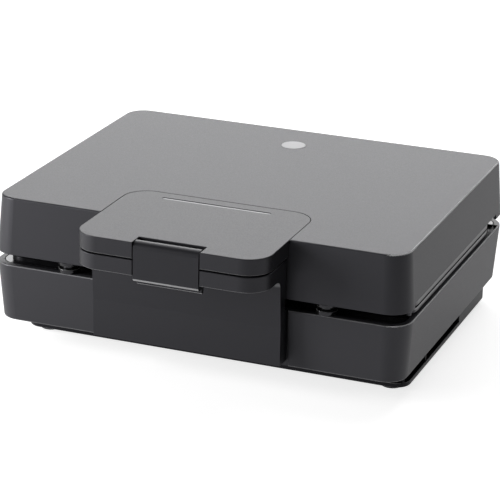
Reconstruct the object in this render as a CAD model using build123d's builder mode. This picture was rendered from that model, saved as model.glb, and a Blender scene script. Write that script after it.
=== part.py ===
from build123d import *
from math import cos, hypot, radians, sin, tan
import os

# Contact sandwich maker: a base and a lid joined by two rear hinges, closed by a swinging front latch.
# Millimetres, +Z up, front towards -Y. The origin lies on the ground, in the middle of the whole outline.

# Housing
housing_width = 340.0
housing_depth = 268.8
base_height = 46.5
lid_height = 45.7
parting_gap = 8.5
stand_height = 23.0
draft_angle = 4.0
corner_radius = 18.0
corner_draw = 0.45
wall = 2.6
lid_edge_round = 1.4
shell_edge_round = 0.6
base_edge_round = 1.1

# Deck inside the base rim and frame inside the lid
rim_width = 5.0
groove = 0.8
ledge_width = 4.0
ledge_thickness = 2.4
deck_thickness = 2.2
frame_recess = 1.3
side_relief_height = 4.2
side_relief_front = 21.4
side_relief_rear = 28.4
frame_upstand_height = 3.5
frame_upstand_thickness = 1.6
fit_gap = 0.3

# Handles
handle_width = 153.0
handle_reach = 49.4
inlay_length = 64.9
handle_corner = 19.5
inlay_gap = 0.4
inlay_thickness = 4.0
upper_handle_thickness = 12.8
lower_handle_thickness = 12.1
handle_gap = 1.3
handle_edge_round = 0.6

# Block under the lower handle
block_reach = 10.6
block_lean = 2.5
block_lift = 5.0
block_straight = 35.0
block_fillet = 7.0
block_recess = 4.2
block_side_gap = 1.2
recess_edge_bevel = 0.7
neck_clearance = 1.8

# Latch
latch_width = 52.2
latch_side_gap = 0.9
notch_depth = 13.3
latch_thickness = 3.0
latch_top_round = 5.4
latch_head_depth = 7.9
latch_head_round = 1.0
latch_bottom_round = 3.0
latch_drop = 4.7
latch_barrel_radius = 4.2
latch_pin_radius = 1.5
latch_pin_grip = 5.0
latch_pivot_back = 5.7
latch_pivot_drop = 6.2
hook_thickness = 3.1
hook_tip_thickness = 2.6
hook_bar_drop = 8.4
hook_bar_thickness = 3.4
hook_bar_inset = 1.8
hook_bar_edge = 0.5
catch_reach = 2.5
catch_height = 2.2
catch_overlap = 1.4
pin_clearance = 0.05

# Indicator and badge
slot_length = 90.0
slot_width = 3.4
slot_back = 12.3
slot_x = -2.0
lens_sink = 0.4
lens_flange = 3.0
lens_flange_thickness = 1.2
lamp_radius = 2.5
lamp_pitch = 40.0
lamp_height = 7.0
lamp_tray_depth = 10.0
badge_radius = 10.1
badge_recess = 1.0
badge_proud = 0.2
badge_from_rear = 45.6
badge_x = -2.4

# Grill plates
flange_side_inset = 2.6
flange_front_inset = 22.4
flange_rear_inset = 34.4
plate_corner = 14.0
flange_thickness = 3.8
plate_seal_height = 5.4
plate_seal_gap = 0.5
pocket_margin = 21.0
pocket_bridge = 14.0
pocket_depth = 9.0
pocket_corner = 12.0
pocket_taper = 8.0
plate_skin = 2.5
ridge_height = 4.0
ridge_width = 7.0
seat_radius = 5.0
seat_pitch = 60.0
seat_inset = 10.0
plate_boss_radius = 4.0
plate_boss_x = 236.0
plate_boss_y = 136.0
pad_clearance = 2.0

# Heaters and reflectors
heater_radius = 3.2
heater_bend = 14.0
heater_gap = 0.3
heater_tail = 38.0
heater_tail_pitch = 28.0
heater_pin_radius = 1.6
heater_pin_length = 8.0
reflector_thickness = 0.8
reflector_lip = 5.0
reflector_margin = 4.0

# Controls and wiring
thermostat_radius = 9.0
thermostat_x = 38.0
thermostat_y = 24.0
fuse_radius = 2.5
fuse_length = 18.0
terminal_length = 36.0
terminal_width = 18.0
terminal_height = 15.0
terminal_x = 58.0
terminal_rear_gap = 12.0
lead_radius = 1.2
lead_bend = 9.0
gland_x = 60.0
gland_height = 27.0
gland_bore_radius = 3.3
gland_body_radius = 6.0
gland_flange_radius = 9.0
gland_flange_thickness = 3.0
gland_nut_thickness = 4.0

# Stop bumpers in the gap
bumper_x = 105.75
bumper_radius = 8.4
bumper_edge = 0.7
bumper_hollow_radius = 4.2
bumper_cup_height = 3.3
bumper_neck_radius = 5.4
bumper_slit = 2.7
bumper_shoulder_radius = 4.0
bumper_stem_radius = 2.5
bumper_stem_back = 3.0
bumper_gap = 0.3
deck_pocket_width = 10.0
deck_pocket_length = 18.0
deck_pocket_gap = 7.0
rim_pocket_width = 3.8
locator_radius = 2.0
locator_height = 6.6

# Bottom cover with the plinth
plinth_side_inset = 10.0
plinth_front_inset = 39.4
plinth_rear_inset = 9.4
plinth_corner = 12.0
plinth_floor = 2.4
plinth_lip_height = 1.3
plinth_edge_round = 0.5
plinth_lip_width = 1.8
neck_inset = 23.0
neck_wall = 2.4
cover_flange = 2.4
cover_sink = 1.6
rib_thickness = 1.4
rib_pitch = 88.0
rib_middle = 2.0
corner_rib_length = 36.0
corner_rib_inset = 15.3
vent_length = 44.0
vent_width = 3.0
vent_pitch_x = 56.0
vent_pitch_y = 9.0

# Feet
foot_radius = 9.0
foot_height = 4.0
foot_edge = 1.2
foot_stem_radius = 3.0
foot_from_side = 15.6
foot_from_end = 15.0

# Hinges
hinge_from_side = 65.0
hinge_barrel_radius = 5.0
hinge_pin_radius = 2.0
hinge_wall_gap = 0.6
hinge_width = 38.0
hinge_ear = 6.0
hinge_side_gap = 0.4
hinge_leaf_height = 20.0
hinge_bracket_height = 24.0
hinge_plate_thickness = 4.0
hinge_web_drop = 7.6
hinge_screw_pitch = 22.0

# Screws
screw_radius = 1.45
screw_hole_radius = 1.6
screw_pilot_radius = 1.5
screw_head_radius = 3.0
screw_head_height = 2.0
screw_drive_width = 1.0
screw_drive_length = 3.4
boss_radius = 4.5
side_boss_inset = 9.5
side_boss_pitch = 120.0
lid_boss_x_inset = 20.0
lid_boss_front_inset = 12.4
lid_boss_rear_inset = 18.4
block_screw_x = 60.0
block_screw_low = 12.0
block_screw_pitch = 19.0
block_boss_radius = 4.0
handle_screw_x = 56.0
handle_screw_front = 18.0
handle_screw_rear = 22.0
self_tap_depth = 9.0

# Heights that follow from the sizes above
base_bottom = stand_height
base_top = base_bottom + base_height
lid_bottom = base_top + parting_gap
lid_top = lid_bottom + lid_height
deck_seat = base_top - deck_thickness
ledge_bottom = deck_seat - ledge_thickness
frame_bottom = lid_bottom + frame_recess
frame_top = frame_bottom + deck_thickness
upper_handle_bottom = lid_top - upper_handle_thickness
lower_handle_top = upper_handle_bottom - handle_gap
lower_handle_bottom = lower_handle_top - lower_handle_thickness
inlay_bottom = lid_top - inlay_thickness
plate_seal = base_top + plate_seal_height
lower_plate_face = plate_seal - plate_seal_gap / 2
upper_plate_face = plate_seal + plate_seal_gap / 2
hinge_z = (base_top + lid_bottom) / 2
cover_flange_bottom = base_bottom + cover_sink
cover_flange_top = cover_flange_bottom + cover_flange
plinth_bottom = foot_height
plinth_top = plinth_bottom + plinth_floor

# Places along the depth, measured from the middle of the housing
front = -housing_depth / 2
rear = housing_depth / 2
handle_front = front - handle_reach
handle_back = front + inlay_length
handle_middle = (handle_front + handle_back) / 2
handle_length = handle_back - handle_front
notch_back = handle_front + notch_depth
recess_plane = front + block_recess
hinge_x = housing_width / 2 - hinge_from_side
hinge_y = rear + hinge_wall_gap + hinge_barrel_radius
plate_front = front + flange_front_inset
plate_rear = rear - flange_rear_inset
plate_y = (plate_front + plate_rear) / 2
plinth_front = front + plinth_front_inset
plinth_rear = rear - plinth_rear_inset
plinth_y = (plinth_front + plinth_rear) / 2
bumper_y = front + bumper_radius
side_relief_length = housing_depth - side_relief_front - side_relief_rear
side_relief_y = (side_relief_front - side_relief_rear) / 2
slot_y = handle_back - slot_back

# The outline runs from the latch to the back of the hinges, and its middle is the origin
front_reach = -handle_front
rear_reach = hinge_y + hinge_barrel_radius
housing_y = (front_reach - rear_reach) / 2

# Plate sizes
plate_width = housing_width - 2 * flange_side_inset
plate_length = plate_rear - plate_front
pocket_width = (plate_width - 2 * pocket_margin - pocket_bridge) / 2
pocket_length = (plate_length - 2 * pocket_margin - pocket_bridge) / 2
pocket_pitch_x = pocket_width + pocket_bridge
pocket_pitch_y = pocket_length + pocket_bridge
pads_width = pocket_pitch_x + pocket_width + 2 * plate_skin
pads_length = pocket_pitch_y + pocket_length + 2 * plate_skin
pad_depth = pocket_depth + plate_skin
reflector_drop = pad_depth + 2 * heater_gap + 2 * heater_radius
seat_x = plate_width - 2 * seat_inset

# Latch places in the side view
latch_front = handle_front
latch_pivot_y = latch_front + latch_pivot_back
latch_pivot_z = lid_top - latch_pivot_drop
hook_top = lower_handle_bottom - fit_gap
catch_front = notch_back - catch_reach

corner_signs = [(x, y) for x in (-1, 1) for y in (-1, 1)]
side_boss_x = housing_width / 2 - side_boss_inset
side_boss_y = side_boss_pitch / 2


def level(height):
    """Horizontal plane at a height, centred on the housing."""
    return Plane(origin=(0, housing_y, height))


def ceiling(height):
    """Horizontal plane that looks down, local y to the rear and local x to the left."""
    return Plane(origin=(0, housing_y, height), x_dir=(-1, 0, 0), z_dir=(0, 0, -1))


def looking_back(y):
    """Upright plane whose normal points to the front, local x to the right and local y up."""
    return Plane(origin=(0, housing_y + y, 0), x_dir=(1, 0, 0), z_dir=(0, -1, 0))


def looking_forward(y):
    """Upright plane whose normal points to the rear, local x to the left and local y up."""
    return Plane(origin=(0, housing_y + y, 0), x_dir=(-1, 0, 0), z_dir=(0, 1, 0))


def side_view(x):
    """Upright plane whose normal points to the right, local x to the rear and local y up."""
    return Plane(origin=(x, housing_y, 0), x_dir=(0, 1, 0), z_dir=(1, 0, 0))


def drawn_in(height):
    """How far the drafted housing walls have drawn in at a height."""
    return max(base_top - height, height - lid_bottom, 0) * tan(radians(draft_angle))


def housing_size(height, inset=0.0):
    """Width, depth and corner radius of the housing at a height, less an inset all round."""
    draw = drawn_in(height)
    return (
        housing_width - 2 * (draw + inset),
        housing_depth - 2 * (draw + inset),
        corner_radius - corner_draw * draw - inset,
    )


def rear_wall(height):
    """Depth of the outer face of the rear wall at a height."""
    return rear - drawn_in(height)


def recess_outline(height):
    """Corners of the recess for the block at a height, with bevelled mouths that follow the draft."""
    face = front + drawn_in(height)
    side = handle_width / 2 + block_side_gap
    bevel = recess_edge_bevel
    half = [(side, recess_plane), (side, face + bevel), (side + 2 * bevel, face - bevel)]
    return half + [(-x, y) for x, y in reversed(half)]


def screws(plane, spots, length):
    """Pan head screws with cross drives, heads on the plane's front and shanks behind it.

    Every set here is symmetric about local x = 0, so a plane that looks down or back takes the same spots.
    """
    with BuildPart() as made:
        with BuildSketch(plane):
            with Locations(*spots):
                Circle(screw_head_radius)
        extrude(amount=screw_head_height)
        with BuildSketch(plane):
            with Locations(*spots):
                Circle(screw_radius)
        extrude(amount=-length)
        with BuildSketch(plane.offset(screw_head_height)):
            with Locations(*spots):
                Rectangle(screw_drive_length, screw_drive_width)
                Rectangle(screw_drive_width, screw_drive_length)
        extrude(amount=-screw_head_height / 2, mode=Mode.SUBTRACT)
    return made


def grill_plate(face):
    """Cast plate with four pockets, whose sealing face lies on the plane and looks along its normal."""
    with BuildPart() as ridges:
        for x in (-pocket_pitch_x / 2, pocket_pitch_x / 2):
            for y in (-pocket_pitch_y / 2, pocket_pitch_y / 2):
                middle = face.from_local_coords(Vector(x, y, -pocket_depth))
                along = face.x_dir * pocket_width + face.y_dir * pocket_length
                across = along.cross(face.z_dir)
                with BuildSketch(Plane(origin=middle, x_dir=across, z_dir=along)):
                    with BuildLine():
                        Polyline((-ridge_width / 2, 0), (0, ridge_height), (ridge_width / 2, 0), close=True)
                    make_face()
                extrude(amount=hypot(pocket_width, pocket_length) / 2, both=True)
        with BuildSketch(face):
            with GridLocations(pocket_pitch_x, pocket_pitch_y, 2, 2):
                RectangleRounded(pocket_width + plate_skin, pocket_length + plate_skin, pocket_corner)
        extrude(amount=-pad_depth, mode=Mode.INTERSECT)
    with BuildPart() as plate:
        with BuildSketch(face):
            RectangleRounded(plate_width, plate_length, plate_corner)
        extrude(amount=-flange_thickness)
        with BuildSketch(face):
            with GridLocations(pocket_pitch_x, pocket_pitch_y, 2, 2):
                RectangleRounded(
                    pocket_width + 2 * plate_skin, pocket_length + 2 * plate_skin, pocket_corner + plate_skin
                )
        extrude(amount=-pad_depth)
        with BuildSketch(face):
            with GridLocations(plate_boss_x, plate_boss_y, 2, 2):
                Circle(plate_boss_radius)
        extrude(amount=-reflector_drop)
        with BuildSketch(face):
            with GridLocations(pocket_pitch_x, pocket_pitch_y, 2, 2):
                RectangleRounded(pocket_width, pocket_length, pocket_corner)
        extrude(amount=-pocket_depth, taper=pocket_taper, mode=Mode.SUBTRACT)
        add(ridges.part)
        with BuildSketch(face.offset(-reflector_drop)):
            with GridLocations(plate_boss_x, plate_boss_y, 2, 2):
                Circle(screw_pilot_radius)
        extrude(amount=reflector_drop - pad_depth, mode=Mode.SUBTRACT)
        with BuildSketch(face.offset(-flange_thickness)):
            with GridLocations(seat_x, seat_pitch, 2, 2):
                Circle(screw_pilot_radius)
        extrude(amount=flange_thickness - plate_seal_gap, mode=Mode.SUBTRACT)
    return plate


def heater(face):
    """Tubular heater that runs under the middle of the pockets, with both tails at the rear."""
    depth = pad_depth + heater_gap + heater_radius
    x = pocket_pitch_x / 2
    y = pocket_pitch_y / 2
    tail_x = heater_tail_pitch / 2
    tail_y = y + heater_tail
    right_half = [(x, -y), (x, y), (tail_x, y), (tail_x, tail_y)]
    route = [(-px, py) for px, py in reversed(right_half)] + right_half
    spots = [face.from_local_coords(Vector(px, py, -depth)) for px, py in route]
    tail_end = spots[0]
    with BuildPart() as tube:
        with BuildLine() as path:
            FilletPolyline(*spots, radius=heater_bend)
        with BuildSketch(Plane(origin=tail_end, z_dir=(0, -1, 0))):
            Circle(heater_radius)
        sweep(path=path.line)
        with BuildSketch(Plane(origin=tail_end, z_dir=(0, 1, 0))):
            Circle(heater_pin_radius)
        extrude(amount=heater_pin_length)
        with BuildSketch(Plane(origin=spots[-1], z_dir=(0, 1, 0))):
            Circle(heater_pin_radius)
        extrude(amount=heater_pin_length)
    return tube


def reflector(face):
    """Bright sheet behind the heater, turned up along its two sides and screwed to the plate's bosses."""
    width = pads_width - 2 * reflector_margin
    length = pads_length - 2 * reflector_margin
    with BuildPart() as sheet:
        with BuildSketch(face.offset(-reflector_drop)):
            RectangleRounded(width, length, plate_corner)
        extrude(amount=-reflector_thickness)
        with BuildSketch(face.offset(-reflector_drop - reflector_thickness)):
            with GridLocations(width - reflector_thickness, 0, 2, 1):
                Rectangle(reflector_thickness, length - 2 * plate_corner)
        extrude(amount=reflector_lip + reflector_thickness)
        with BuildSketch(face.offset(-reflector_drop)):
            with GridLocations(plate_boss_x, plate_boss_y, 2, 2):
                Circle(screw_hole_radius)
        extrude(amount=-reflector_thickness, mode=Mode.SUBTRACT)
    return sheet


def reflector_screws(face):
    """The four screws that hold a reflector to its plate."""
    back = face.offset(-reflector_drop - reflector_thickness)
    flipped = Plane(origin=back.origin, x_dir=back.x_dir, z_dir=-back.z_dir)
    spots = [(x * plate_boss_x / 2, y * plate_boss_y / 2) for x, y in corner_signs]
    return screws(flipped, spots, reflector_drop - pad_depth)


def thermostat(face):
    """Disc thermostat between the back of a pocket and the reflector, with two blade terminals."""
    with BuildPart() as disc:
        with BuildSketch(face.offset(-pad_depth)):
            with Locations((thermostat_x, thermostat_y)):
                Circle(thermostat_radius)
        extrude(amount=-(reflector_drop - pad_depth))
        with BuildSketch(face.offset(-(pad_depth + reflector_drop) / 2)):
            with Locations((thermostat_x, thermostat_y)):
                Rectangle(2 * thermostat_radius + 12, 5)
        extrude(amount=-reflector_thickness)
    return disc


def write(piece, name):
    """Label a finished piece and write it to its own file."""
    piece.part.label = name
    export_step(piece.part, f"parts/{name}.step")


os.makedirs("parts", exist_ok=True)

lower_face = Plane(origin=(0, housing_y + plate_y, lower_plate_face))
upper_face = Plane(origin=(0, housing_y + plate_y, upper_plate_face), x_dir=(-1, 0, 0), z_dir=(0, 0, -1))

# Lid shell: drafted cover whose top holds the inlaid handle, with bosses for the frame
lid_boss_spots = [
    (x * (housing_width / 2 - lid_boss_x_inset), y)
    for x in (-1, 1)
    for y in (front + lid_boss_front_inset, rear - lid_boss_rear_inset)
]
handle_screw_spots = [
    (x * handle_screw_x, y)
    for x in (-1, 1)
    for y in (front + handle_screw_front, handle_back - handle_screw_rear)
]
with BuildPart() as lid_cavity:
    with BuildSketch(level(lid_bottom)):
        RectangleRounded(*housing_size(lid_bottom, wall))
    with BuildSketch(level(lid_top - wall)):
        RectangleRounded(*housing_size(lid_top - wall, wall))
    loft(ruled=True)
    with BuildSketch(level(inlay_bottom - wall)):
        with Locations((0, handle_middle)):
            RectangleRounded(
                handle_width + 2 * (inlay_gap + wall),
                handle_length + 2 * (inlay_gap + wall),
                handle_corner + inlay_gap + wall,
            )
    extrude(amount=inlay_thickness + wall, mode=Mode.SUBTRACT)
    with BuildSketch(level(frame_top)):
        with Locations(*lid_boss_spots):
            Circle(boss_radius)
    extrude(amount=lid_height, mode=Mode.SUBTRACT)

with BuildPart() as lid_shell:
    with BuildSketch(level(lid_bottom)):
        RectangleRounded(*housing_size(lid_bottom))
    with BuildSketch(level(lid_top)):
        RectangleRounded(*housing_size(lid_top))
    loft(ruled=True)
    fillet(lid_shell.faces().sort_by(Axis.Z)[-1].edges(), lid_edge_round)
    fillet(lid_shell.faces().sort_by(Axis.Z)[0].edges(), shell_edge_round)
    add(lid_cavity.part, mode=Mode.SUBTRACT)
    with BuildSketch(level(lid_bottom)):
        with Locations((0, side_relief_y)):
            Rectangle(2 * housing_width, side_relief_length)
    extrude(amount=side_relief_height, mode=Mode.SUBTRACT)
    with BuildSketch(level(inlay_bottom)):
        with Locations((0, handle_middle)):
            RectangleRounded(
                handle_width + 2 * inlay_gap, handle_length + 2 * inlay_gap, handle_corner + inlay_gap
            )
    extrude(amount=inlay_thickness + wall, mode=Mode.SUBTRACT)
    with BuildSketch(level(inlay_bottom)):
        with Locations((slot_x, slot_y)):
            Rectangle(slot_length + 2 * (lens_flange + fit_gap), slot_width + 2 * (lens_flange + fit_gap))
        with Locations(*handle_screw_spots):
            Circle(screw_hole_radius)
    extrude(amount=-wall, mode=Mode.SUBTRACT)
    with BuildSketch(level(lid_top - badge_recess)):
        with Locations((badge_x, rear - badge_from_rear)):
            Circle(badge_radius + fit_gap / 2)
    extrude(amount=badge_recess, mode=Mode.SUBTRACT)
    with BuildSketch(level(frame_top)):
        with Locations(*lid_boss_spots):
            Circle(screw_pilot_radius)
    extrude(amount=self_tap_depth, mode=Mode.SUBTRACT)
    with BuildSketch(looking_forward(rear)):
        for x in (-hinge_x, hinge_x):
            with Locations((x, lid_bottom + hinge_leaf_height * 2 / 3)):
                with GridLocations(hinge_screw_pitch, 0, 2, 1):
                    Circle(screw_hole_radius)
    extrude(amount=2 * wall, both=True, mode=Mode.SUBTRACT)
write(lid_shell, "lid_shell")

# Upper handle: thin inlay in the lid top that thickens to a grip in front of the lid
grip_rear = front + drawn_in(upper_handle_bottom) - fit_gap
with BuildPart() as upper_handle:
    with BuildSketch(level(upper_handle_bottom)):
        with Locations((0, handle_middle)):
            RectangleRounded(handle_width, handle_length, handle_corner)
    extrude(amount=upper_handle_thickness)
    with BuildSketch(level(upper_handle_bottom)):
        with Locations((0, handle_front - handle_length)):
            Rectangle(latch_width + 2 * latch_side_gap, 2 * (handle_length + notch_depth))
    extrude(amount=upper_handle_thickness, mode=Mode.SUBTRACT)
    fillet(upper_handle.faces().sort_by(Axis.Z)[-1].edges(), handle_edge_round)
    fillet(upper_handle.faces().sort_by(Axis.Z)[0].edges(), handle_edge_round)
    with BuildSketch(level(upper_handle_bottom)):
        with Locations((0, grip_rear + handle_length / 2)):
            Rectangle(2 * handle_width, handle_length)
    extrude(amount=inlay_bottom - upper_handle_bottom, mode=Mode.SUBTRACT)
    with BuildSketch(level(inlay_bottom)):
        with Locations((slot_x, slot_y)):
            SlotOverall(slot_length, slot_width)
    extrude(amount=inlay_thickness, mode=Mode.SUBTRACT)
    with BuildSketch(level(inlay_bottom)):
        with Locations(*handle_screw_spots):
            Circle(screw_pilot_radius)
    extrude(amount=inlay_thickness - handle_edge_round, mode=Mode.SUBTRACT)
    with BuildSketch(side_view(0)):
        with Locations((latch_pivot_y, latch_pivot_z)):
            Circle(latch_pin_radius)
    extrude(amount=latch_width / 2 + latch_side_gap + latch_pin_grip, both=True, mode=Mode.SUBTRACT)
write(upper_handle, "upper_handle")

upper_handle_screws = screws(
    ceiling(inlay_bottom - wall),
    handle_screw_spots,
    wall + inlay_thickness - 2 * handle_edge_round,
)
write(upper_handle_screws, "upper_handle_screws")

with BuildPart() as badge_disc:
    with BuildSketch(level(lid_top - badge_recess)):
        with Locations((badge_x, rear - badge_from_rear)):
            Circle(badge_radius)
    extrude(amount=badge_recess + badge_proud)
    fillet(badge_disc.faces().sort_by(Axis.Z)[-1].edges(), badge_proud)
write(badge_disc, "badge_disc")

# Indicator: lens below the slot, two lamps in a tray under it
with BuildPart() as indicator_lens:
    with BuildSketch(level(inlay_bottom)):
        with Locations((slot_x, slot_y)):
            SlotOverall(slot_length - fit_gap, slot_width - fit_gap)
    extrude(amount=inlay_thickness - lens_sink)
    with BuildSketch(level(inlay_bottom)):
        with Locations((slot_x, slot_y)):
            Rectangle(slot_length + 2 * lens_flange, slot_width + 2 * lens_flange)
    extrude(amount=-lens_flange_thickness)
write(indicator_lens, "indicator_lens")

lamp_tray_top = inlay_bottom - lens_flange_thickness
with BuildPart() as lamp_tray:
    with BuildSketch(level(lamp_tray_top)):
        with Locations((slot_x, slot_y)):
            Rectangle(slot_length + 2 * lens_flange, slot_width + 2 * lens_flange)
    extrude(amount=-lamp_tray_depth)
    with BuildSketch(level(lamp_tray_top)):
        with Locations((slot_x, slot_y)):
            Rectangle(slot_length + 2 * lens_flange - wall, slot_width + 2 * lens_flange - wall)
    extrude(amount=-(lamp_tray_depth - wall / 2), mode=Mode.SUBTRACT)
    with BuildSketch(level(lamp_tray_top - lamp_tray_depth)):
        with Locations((slot_x, slot_y)):
            with GridLocations(lamp_pitch, 0, 2, 1):
                Circle(lamp_radius)
    extrude(amount=wall / 2, mode=Mode.SUBTRACT)
write(lamp_tray, "lamp_tray")

for lamp_name, lamp_side in (("power_lamp", -1), ("ready_lamp", 1)):
    with BuildPart() as lamp:
        with BuildSketch(level(lamp_tray_top - lamp_tray_depth)):
            with Locations((slot_x + lamp_side * lamp_pitch / 2, slot_y)):
                Circle(lamp_radius)
        extrude(amount=lamp_height)
        fillet(lamp.faces().sort_by(Axis.Z)[-1].edges(), lamp_radius * 0.8)
    write(lamp, lamp_name)

# Lid frame: closes the lid from below and carries the upper plate on four seats
opening_width = pads_width + 2 * pad_clearance
opening_length = pads_length + 2 * pad_clearance
opening_corner = pocket_corner + plate_skin + pad_clearance
seat_spots = [(x * seat_x / 2, plate_y + y * seat_pitch / 2) for x, y in corner_signs]
bumper_stem_spots = [(x * bumper_x, bumper_y + bumper_stem_back) for x in (-1, 1)]
upper_seat_height = frame_bottom - (upper_plate_face + flange_thickness)
locator_spot = (plate_width / 2 - locator_radius, plate_front - locator_radius)
upstand_pitch = housing_width - 2 * (wall + 2 * fit_gap) - 2 * frame_upstand_thickness
with BuildPart() as lid_frame:
    with BuildSketch(level(frame_bottom)):
        RectangleRounded(*housing_size(lid_bottom, wall + fit_gap))
        with Locations((0, plate_y)):
            RectangleRounded(opening_width, opening_length, opening_corner, mode=Mode.SUBTRACT)
    extrude(amount=deck_thickness)
    with BuildSketch(level(frame_bottom)):
        with Locations(*seat_spots):
            Circle(seat_radius)
    extrude(amount=-upper_seat_height)
    with BuildSketch(level(frame_bottom)):
        with Locations(locator_spot):
            Circle(locator_radius)
    extrude(amount=-locator_height)
    with BuildSketch(level(frame_top)):
        with Locations((0, side_relief_y)):
            with GridLocations(upstand_pitch, 0, 2, 1):
                Rectangle(frame_upstand_thickness, side_relief_length + 2 * wall)
    extrude(amount=frame_upstand_height)
    with BuildSketch(level(frame_top)):
        with Locations(*seat_spots, *lid_boss_spots):
            Circle(screw_hole_radius)
    extrude(amount=-(deck_thickness + upper_seat_height), mode=Mode.SUBTRACT)
    with BuildSketch(level(frame_top)):
        with Locations(*bumper_stem_spots):
            Circle(bumper_stem_radius)
    extrude(amount=-deck_thickness, mode=Mode.SUBTRACT)
write(lid_frame, "lid_frame")

lid_frame_screws = screws(ceiling(frame_bottom), lid_boss_spots, self_tap_depth)
write(lid_frame_screws, "lid_frame_screws")

upper_plate = grill_plate(upper_face)
write(upper_plate, "upper_plate")
upper_heater = heater(upper_face)
write(upper_heater, "upper_heater")
upper_reflector = reflector(upper_face)
write(upper_reflector, "upper_reflector")
upper_reflector_screws = reflector_screws(upper_face)
write(upper_reflector_screws, "upper_reflector_screws")
upper_thermostat = thermostat(upper_face)
write(upper_thermostat, "upper_thermostat")
upper_plate_screws = screws(
    level(frame_top), seat_spots, deck_thickness + upper_seat_height + flange_thickness - 2 * plate_seal_gap
)
write(upper_plate_screws, "upper_plate_screws")

# Bumpers: soft pads on the lid frame whose necks land on cups on the base deck
cup_top = base_top + bumper_cup_height
for bumper_name, bumper_side in (("left", -1), ("right", 1)):
    bumper_spot = (bumper_side * bumper_x, bumper_y)
    stem_spot = (bumper_side * bumper_x, bumper_y + bumper_stem_back)
    with BuildPart() as lid_bumper:
        with BuildSketch(level(cup_top + bumper_slit)):
            with Locations(bumper_spot):
                Circle(bumper_radius)
        extrude(amount=lid_bottom - cup_top - bumper_slit)
        fillet(lid_bumper.faces().sort_by(Axis.Z)[0].edges(), bumper_edge)
        with BuildSketch(level(cup_top + bumper_gap)):
            with Locations(bumper_spot):
                Circle(bumper_neck_radius)
        extrude(amount=bumper_slit - bumper_gap)
        with BuildSketch(level(lid_bottom)):
            with Locations(stem_spot):
                Circle(bumper_shoulder_radius)
        extrude(amount=frame_recess)
        with BuildSketch(level(frame_bottom)):
            with Locations(stem_spot):
                Circle(bumper_stem_radius)
        extrude(amount=deck_thickness)
    write(lid_bumper, f"lid_bumper_{bumper_name}")
    with BuildPart() as base_bumper:
        with BuildSketch(level(base_top)):
            with Locations(bumper_spot):
                Circle(bumper_radius)
        extrude(amount=bumper_cup_height)
        with BuildSketch(level(cup_top)):
            with Locations(bumper_spot):
                Circle(bumper_hollow_radius)
        extrude(amount=-(bumper_cup_height - foot_edge), mode=Mode.SUBTRACT)
        fillet(base_bumper.faces().sort_by(Axis.Z)[-1].edges(), bumper_edge)
        with BuildSketch(level(base_top)):
            with Locations(stem_spot):
                Circle(bumper_stem_radius)
        extrude(amount=-deck_thickness)
    write(base_bumper, f"base_bumper_{bumper_name}")

# Latch: clip that hangs from a pin in the upper handle and hooks under the lower one
clip_bottom = lower_handle_bottom - latch_drop
arm_top = clip_bottom + hook_thickness
bar_bottom = lower_handle_bottom - hook_bar_drop
tip_back = catch_front + catch_overlap
tip_front = tip_back - hook_tip_thickness
bar_back = tip_back - hook_bar_inset
bar_front = bar_back - hook_bar_thickness
head_back = latch_front + latch_head_depth
with BuildPart() as latch_clip:
    with BuildSketch(side_view(0)) as latch_profile:
        with BuildLine():
            top_start = (latch_front + latch_top_round, lid_top)
            top_end = (latch_front, lid_top - latch_top_round)
            bottom_start = (latch_front, clip_bottom + latch_bottom_round)
            bottom_end = (latch_front + latch_bottom_round, clip_bottom)
            Polyline(
                top_start,
                (head_back - latch_head_round, lid_top),
                (head_back, lid_top - latch_head_round),
                (latch_pivot_y + latch_barrel_radius, latch_pivot_z),
                (latch_front + latch_thickness, latch_pivot_z),
                (latch_front + latch_thickness, arm_top),
                (tip_front, arm_top),
                (tip_front, hook_top - hook_tip_thickness / 4),
                (tip_front + hook_tip_thickness / 4, hook_top),
                (tip_back, hook_top),
                (tip_back, clip_bottom + hook_thickness / 2),
                (bar_back, clip_bottom),
                (bar_back, bar_bottom + hook_bar_edge),
                (bar_back - hook_bar_edge, bar_bottom),
                (bar_front + hook_bar_edge, bar_bottom),
                (bar_front, bar_bottom + hook_bar_edge),
                (bar_front, clip_bottom),
                bottom_end,
            )
            ThreePointArc(
                bottom_end,
                (
                    latch_front + latch_bottom_round * (1 - cos(radians(45))),
                    clip_bottom + latch_bottom_round * (1 - sin(radians(45))),
                ),
                bottom_start,
            )
            Line(bottom_start, top_end)
            ThreePointArc(
                top_end,
                (
                    latch_front + latch_top_round * (1 - cos(radians(45))),
                    lid_top - latch_top_round * (1 - sin(radians(45))),
                ),
                top_start,
            )
        make_face()
        with Locations((latch_pivot_y, latch_pivot_z)):
            Circle(latch_barrel_radius)
        with Locations((latch_pivot_y, latch_pivot_z)):
            Circle(latch_pin_radius + pin_clearance, mode=Mode.SUBTRACT)
    extrude(amount=latch_width / 2, both=True)
write(latch_clip, "latch_clip")

with BuildPart() as latch_pin:
    with BuildSketch(side_view(0)):
        with Locations((latch_pivot_y, latch_pivot_z)):
            Circle(latch_pin_radius)
    extrude(amount=latch_width / 2 + latch_side_gap + latch_pin_grip, both=True)
write(latch_pin, "latch_pin")

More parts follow.
